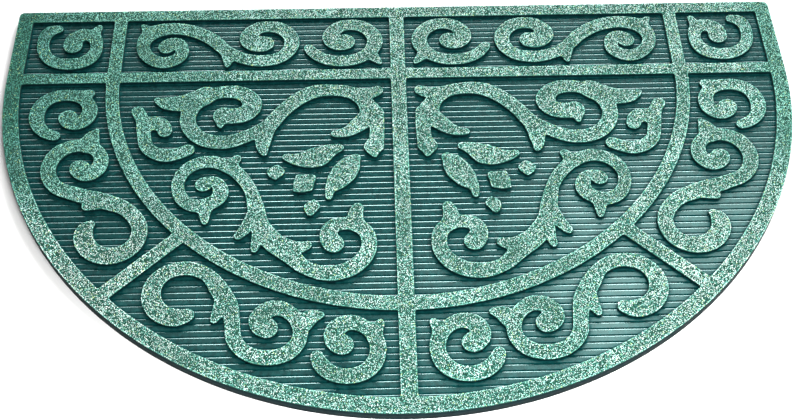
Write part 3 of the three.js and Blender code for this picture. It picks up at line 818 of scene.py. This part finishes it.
# The scrolls of the ring between the border and the arch: two on each side of each strut, moulded
# and faced as those of the band are.
RING_UPPER_SCROLL = [
    [
        (-325, 67.3, 11), (-336, 72.3, 12), (-345.5, 91, 15), (-338.3, 111.5, 14.5),
        (-320, 117.5, 13.5), (-300, 109, 13), (-295.5, 96, 15), (-299, 86.5, 15.5),
        (-307, 82.7, 17), (-315.5, 89.3, 18.8),
    ],
    [
        (-307, 116, 15), (-297.5, 119.3, 9.5),
    ],
]
RING_DOUBLE_SCROLL = [
    [
        (-297.5, 28.5, 19), (-290, 22.7, 19), (-281.5, 26, 15.5), (-278.2, 37, 14),
        (-283.5, 48.5, 13), (-297, 55, 14), (-318.8, 47.5, 15.5), (-326, 30, 14.7),
        (-317.3, 8.3, 13.8), (-298, -1, 15), (-270, -10, 17), (-249, -20, 14.5),
        (-235.3, -45, 14.5), (-241, -61, 15.5), (-261, -69.5, 18), (-279, -61, 18),
        (-285, -46, 17.5), (-283, -39, 15), (-279, -34.8, 7.5),
    ],
    [
        (-292, 56, 20), (-289.5, 66, 15), (-286, 73, 5),
    ],
    [
        (-276, -12, 14), (-286.3, -15.8, 8.6),
    ],
]
FRONT_DOUBLE_SCROLL = [
    [
        (-187, -131.5, 13), (-196, -133.8, 17.5), (-211.7, -127.5, 18), (-219.5, -110, 17),
        (-213, -92.3, 15), (-194, -84, 14.3), (-172.3, -91.3, 13), (-160.5, -107.5, 17),
        (-151.5, -124, 16), (-148.3, -140, 13.5), (-146, -156.5, 13.5), (-137, -168, 13.5),
        (-118, -174.4, 14.5), (-98.5, -168.5, 14.5), (-90.3, -153, 13), (-92.8, -141, 12.5),
        (-100, -131, 13.5), (-111, -126.2, 15), (-122.5, -131, 16.5), (-125.5, -139.5, 18.5),
        (-118.8, -146, 19.6),
    ],
    [
        (-157, -118, 15), (-161, -130, 11), (-164, -137, 7.2),
    ],
    [
        (-87.5, -141.5, 17), (-82, -136.5, 15.5), (-73.5, -134, 7.5),
    ],
]
FRONT_SCROLL = [
    [
        (-76.3, -173.8, 11.5), (-72.3, -182.5, 14.4), (-51, -193.2, 14.5), (-32, -186, 15),
        (-25, -171, 14), (-27.3, -157, 14), (-36, -146.5, 13), (-51, -142.3, 15.3),
        (-61, -149.5, 17), (-61.5, -158.5, 17.5), (-54.8, -163.5, 19.6),
    ],
    [
        (-27.5, -158, 13), (-25.5, -148, 11.5), (-22.7, -143.2, 8.2),
    ],
]

ring_loops = both_sides(RING_UPPER_SCROLL, RING_DOUBLE_SCROLL, FRONT_DOUBLE_SCROLL, FRONT_SCROLL)
ring_scrolls = raised_part("ring_scrolls", ring_loops, SCROLL_ROOT, seed=31)
ring_pile = pile_on("ring_scroll_pile", ring_loops, seed=32)


# The branches inside the arch: a hook by its leg, a high branch and a low one that curl both ways,
# with thorns and broad leaf tips, moulded and faced as the scrolls are.
HOOK = [
    [
        (-250, 95.8, 12.5), (-245, 86, 12.5), (-242, 69, 12.8), (-236, 50, 13), (-219, 41.5, 15),
        (-206, 44.3, 13.5), (-198.7, 47.7, 13),
    ],
    [
        (-240, 78, 16), (-230, 80.5, 16), (-222.3, 70.5, 14),
    ],
]
HIGH_BRANCH = [
    [
        (-168.3, 89.3, 19), (-157, 88, 18.5), (-146, 91.5, 18.5), (-141, 102, 19.3),
        (-147, 112.8, 17), (-170, 118.2, 14.7), (-193, 106.5, 15.5), (-201.7, 87, 15.3),
        (-190, 63, 15.5), (-167, 56, 15.7), (-141.5, 64.5, 14), (-124, 76, 16), (-113.5, 90.7, 15),
        (-100, 105.2, 15.5), (-83, 116.3, 16), (-62, 118.2, 13.7), (-44, 113.5, 14.5),
        (-33.5, 103, 15.5), (-27.5, 90, 21),
    ],
    [
        (-170, 86, 15), (-170.3, 75.5, 5.5),
    ],
    [
        (-123, 76, 15), (-129, 56, 15.5), (-129, 47, 11), (-127.8, 42.5, 7.5),
    ],
    [
        (-24.3, 37, 5), (-25.2, 46.5, 20.4), (-22.6, 56, 14.4), (-22, 66, 14), (-22, 90, 14),
    ],
    [
        (-40, 114, 14), (-28, 113.5, 13), (-20.5, 117.2, 11.5),
    ],
    [
        (-28, 86, 20), (-39, 75, 17), (-50, 66.5, 12.2), (-62.3, 64.1, 7.6),
    ],
    [
        (-186, 114.5, 22), (-200, 107, 22), (-215, 104.5, 18), (-225, 105.8, 14.5),
        (-232.6, 109.6, 6.8),
    ],
]
LOW_BRANCH = [
    [
        (-182, 7, 16), (-175, 10.8, 10), (-165.6, 0, 14.7), (-184, -17, 14), (-205.3, 8, 11.7),
        (-197.7, 25.5, 13), (-180, 33.3, 13.8), (-162, 28, 13.5), (-148.7, 16.2, 13),
        (-138, -1.5, 12), (-133, -20, 15.5), (-128.3, -38, 15.5), (-117, -57, 20),
        (-101.5, -72, 17), (-86, -86.5, 13.5), (-64, -92, 16), (-40, -81.7, 15.5), (-31, -63, 14),
        (-35.5, -46.5, 14), (-52, -39.3, 13.5), (-65.3, -44, 14.5), (-67, -53.5, 16.5),
        (-62.5, -61, 19.3),
    ],
    [
        (-179, -18, 15), (-178.5, -29, 9.5), (-178, -35, 6.5),
    ],
    [
        (-160, 27, 15), (-152.3, 36.5, 8.5),
    ],
    [
        (-134, -30, 16), (-142, -44, 11), (-147.7, -51, 8.3),
    ],
    [
        (-128, -46, 15), (-131, -58, 9.5), (-132.8, -66, 6.8),
    ],
    [
        (-108, -62, 18), (-95, -64.5, 13.5), (-86.3, -62.3, 9.5),
    ],
    [
        (-41, -42, 15), (-43, -30, 14.3), (-41, -22.6, 11.6),
    ],
]

branch_loops = both_sides(HOOK, HIGH_BRANCH, LOW_BRANCH)
branches = raised_part("branches", branch_loops, SCROLL_ROOT, seed=41)
branch_pile = pile_on("branch_pile", branch_loops, seed=42)


# The loose leaves and lozenges between the branches, two leaves and three small lozenges on each
# side, moulded and faced as the rest.
UPPER_LEAF = [
    [
        (-107.5, 37.3, 7.5), (-98, 34.3, 13), (-87, 34.5, 21), (-77, 37.3, 24), (-66, 44, 15),
        (-57.5, 47, 9),
    ],
]
LOWER_LEAF = [
    [
        (-66.8, -10, 6.5), (-66.3, -3, 8.5), (-60, 7.5, 20), (-53, 18, 24.5), (-46, 29.5, 19.5),
        (-42.3, 34.3, 10.5),
    ],
]

# Corners of each lozenge on the left: x, y.
LOZENGE_STEP = 1.3
LOZENGES = [
    [
        (-125.3, 21.5), (-123, 15.5), (-116.2, 10.2), (-109, 17), (-107.3, 21), (-113, 27.8),
        (-116.5, 28), (-122.5, 24.5),
    ],
    [
        (-100, -3), (-91, -4), (-82, -2), (-80.5, 6), (-78.5, 13), (-80.5, 16), (-97, 16.5),
        (-99.5, 8),
    ],
    [
        (-90, -19.5), (-88.3, -27), (-85, -30.8), (-82, -30.3), (-78, -25), (-74.6, -20.5),
        (-76, -15.5), (-80.5, -12), (-87.5, -16),
    ],
]

lozenge_loops = [evened(np.array(corners, float), LOZENGE_STEP) for corners in LOZENGES]
leaf_loops = [*both_sides(UPPER_LEAF, LOWER_LEAF), *lozenge_loops, *mirrored(lozenge_loops)]
leaves = raised_part("leaves_and_lozenges", leaf_loops, SCROLL_ROOT, seed=51)
leaf_pile = pile_on("leaf_pile", leaf_loops, seed=52)
